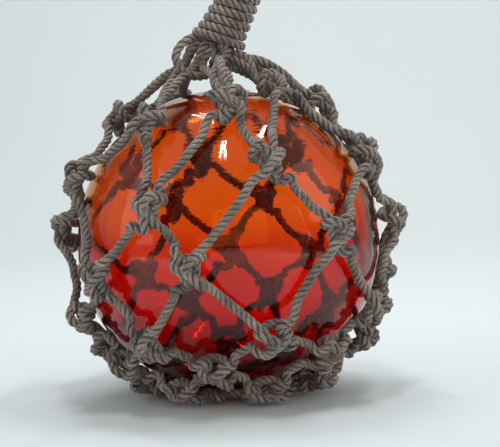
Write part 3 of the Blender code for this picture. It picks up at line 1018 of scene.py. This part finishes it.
def paper_finish():
    """Matt background paper: one pale tone with hardly any grain."""
    settings = bpy.context.scene.float_stage
    made, tree, shader = new_material("Background paper, matt")
    where = add_node(tree, "ShaderNodeTexCoord").outputs["Object"]
    grain = add_node(tree, "ShaderNodeTexNoise", {"Vector": where, "Scale": 3.0, "Detail": 2.0}).outputs[0]
    pale = linear(settings.paper)
    dull = (pale[0] * 0.98, pale[1] * 0.98, pale[2] * 0.98, 1)
    colour = add_node(tree, "ShaderNodeMix", {"Factor": grain, 6: dull, 7: pale},
                      data_type="RGBA").outputs[2]
    link_inputs(tree, shader, {"Base Color": colour})
    shader.inputs["Roughness"].default_value = 0.75
    shader.inputs["Specular IOR Level"].default_value = 0.2
    return made


def softbox(name, place, aim, width, height, power, colour, turn=0.0):
    """An area lamp that faces a point, turned about the way that it faces."""
    lamp = bpy.data.lights.new(name, "AREA")
    lamp.shape = "RECTANGLE"
    lamp.size = width
    lamp.size_y = height
    lamp.energy = power
    lamp.color = colour
    obj = bpy.data.objects.new(name, lamp)
    facing = (aim - place).to_track_quat("-Z", "Y").to_matrix().to_4x4()
    obj.matrix_world = Matrix.Translation(place) @ facing @ Matrix.Rotation(turn, 4, "Z")
    bpy.context.scene.collection.objects.link(obj)
    return obj


def paper_sweep():
    """The paper: flat under the float, and bent up behind it."""
    shape = bmesh.new()
    profile = [(SWEEP_FRONT, 0.0), (SWEEP_BACK, 0.0)]
    for k in range(1, 9):
        turn = math.pi / 2 * k / 8
        profile.append((SWEEP_BACK + SWEEP_BEND * math.sin(turn), SWEEP_BEND * (1 - math.cos(turn))))
    profile.append((SWEEP_BACK + SWEEP_BEND, SWEEP_TOP))
    left = [shape.verts.new((-SWEEP_HALF_WIDTH, y, z)) for y, z in profile]
    right = [shape.verts.new((SWEEP_HALF_WIDTH, y, z)) for y, z in profile]
    for k in range(len(profile) - 1):
        shape.faces.new((left[k], right[k], right[k + 1], left[k + 1]))
    return finish_mesh("paper_sweep", shape, paper_finish())


def hang_lamps(settings):
    """The softboxes at the sides, in front and behind, and the strip lamps overhead."""
    white = (1.0, 1.0, 1.0)
    warm = (1.0, 0.99, 0.97)
    softbox("left_softbox", Vector((-0.85, -0.30, 0.50)), BALL_MIDDLE, 0.55, 0.80,
            settings.box_power, white)
    softbox("right_softbox", Vector((0.85, -0.25, 0.50)), BALL_MIDDLE, 0.55, 0.80,
            settings.box_power, warm)
    # The fill lights the rope and leaves no glare on the glass
    fill = softbox("front_fill", Vector((0.25, -1.50, 0.50)), BALL_MIDDLE, 1.2, 0.8,
                   settings.fill_power, warm)
    fill.visible_glossy = False
    # Two low lamps reach in under the ball and keep its shadow soft
    floor = Vector((0, 0, 0.02))
    unseen = []
    for name, side in (("low_left", -1), ("low_right", 1)):
        place = Vector((0.75 * side, -0.60, 0.16))
        unseen.append(softbox(name, place, floor, 0.6, 0.2, settings.low_power, white))
    unseen.append(softbox("backdrop_lamp", Vector((0.3, 0.55, 1.60)), Vector((0.3, 1.75, 0.55)), 2.2, 0.4,
                          settings.back_power, white))
    for lamp in unseen:
        lamp.visible_glossy = False
        lamp.visible_transmission = False
    for number, (place, turned, length) in enumerate(STRIP_LAMPS):
        for side in (-STRIP_APART / 2, STRIP_APART / 2):
            offset = Vector((side * math.cos(turned), side * math.sin(turned), 0))
            softbox(f"strip_{number + 1}", Vector(place) + offset, BALL_MIDDLE, STRIP_WIDTH, length,
                    settings.strip_power, white, turned)


def light_tent(context, settings):
    """Pale light from all round, dim only from behind the camera, which keeps the glass's front clear."""
    world = context.scene.world or bpy.data.worlds.new("Light tent")
    context.scene.world = world
    world.use_nodes = True
    tree = world.node_tree
    air = tree.nodes["Background"]
    air.inputs["Color"].default_value = linear("#EAF0F1")
    way = add_node(tree, "ShaderNodeTexCoord").outputs["Generated"]
    ahead = add_node(tree, "ShaderNodeSeparateXYZ", {"Vector": way}).outputs["Y"]
    rise = add_node(tree, "ShaderNodeMapRange",
                    {"Value": ahead, "From Min": -0.90, "From Max": -0.05, "To Min": settings.gloom,
                     "To Max": settings.air}, interpolation_type="SMOOTHSTEP").outputs[0]
    link_inputs(tree, air, {"Strength": rise})


def photo_camera(context):
    """The camera where the photograph was taken from."""
    lens = bpy.data.cameras.new("Photo camera")
    lens.sensor_width = SENSOR_MM
    lens.lens = FOCAL_PIXELS / PHOTO_WIDTH * SENSOR_MM
    lens.clip_start = 0.01
    camera = bpy.data.objects.new("Photo camera", lens)
    turn = Matrix.Rotation(-CAMERA_TURN, 4, "Z")
    tilt = Matrix.Rotation(math.pi / 2 - CAMERA_DOWN, 4, "X")
    roll = Matrix.Rotation(-CAMERA_ROLL, 4, "Z")
    camera.matrix_world = Matrix.Translation((0, -CAMERA_AWAY, CAMERA_HEIGHT)) @ turn @ tilt @ roll
    context.scene.collection.objects.link(camera)
    context.scene.camera = camera


class FLOAT_OT_stage(bpy.types.Operator):
    """Set the pale paper sweep, the softboxes and the camera"""

    bl_idname = "float_ball.stage"
    bl_label = "Stage"

    def execute(self, context):
        settings = context.scene.float_stage
        sweep = paper_sweep()
        hang_lamps(settings)
        light_tent(context, settings)
        photo_camera(context)
        context.scene.view_settings.view_transform = "Standard"
        return {"FINISHED"}


class FLOAT_PT_panel(bpy.types.Panel):
    """The float's tools in the sidebar"""

    bl_idname = "FLOAT_PT_panel"
    bl_label = "Glass Float"
    bl_space_type = "VIEW_3D"
    bl_region_type = "UI"
    bl_category = "Glass Float"

    def draw(self, context):
        layout = self.layout
        for operator in OPERATORS:
            layout.operator(operator.bl_idname)
        for group in ("float_glass", "float_rope", "float_stage"):
            settings = getattr(context.scene, group)
            box = layout.box()
            for name in settings.__annotations__:
                box.prop(settings, name)


GROUPS = {
    "float_rope": FloatRopeSettings,
    "float_glass": FloatGlassSettings,
    "float_stage": FloatStageSettings,
}
OPERATORS = (FLOAT_OT_stage, FLOAT_OT_glass, FLOAT_OT_net, FLOAT_OT_neck, FLOAT_OT_eye)


def register():
    for name, group in GROUPS.items():
        bpy.utils.register_class(group)
        setattr(bpy.types.Scene, name, PointerProperty(type=group))
    for operator in OPERATORS:
        bpy.utils.register_class(operator)
    bpy.utils.register_class(FLOAT_PT_panel)


def unregister():
    bpy.utils.unregister_class(FLOAT_PT_panel)
    for operator in reversed(OPERATORS):
        bpy.utils.unregister_class(operator)
    for name, group in GROUPS.items():
        delattr(bpy.types.Scene, name)
        bpy.utils.unregister_class(group)


def main():
    """Registers the tools and builds everything in order."""
    register()
    bpy.ops.float_ball.stage()
    bpy.ops.float_ball.glass()
    bpy.ops.float_ball.net()
    bpy.ops.float_ball.neck()
    bpy.ops.float_ball.eye()


if __name__ == "__main__":
    main()
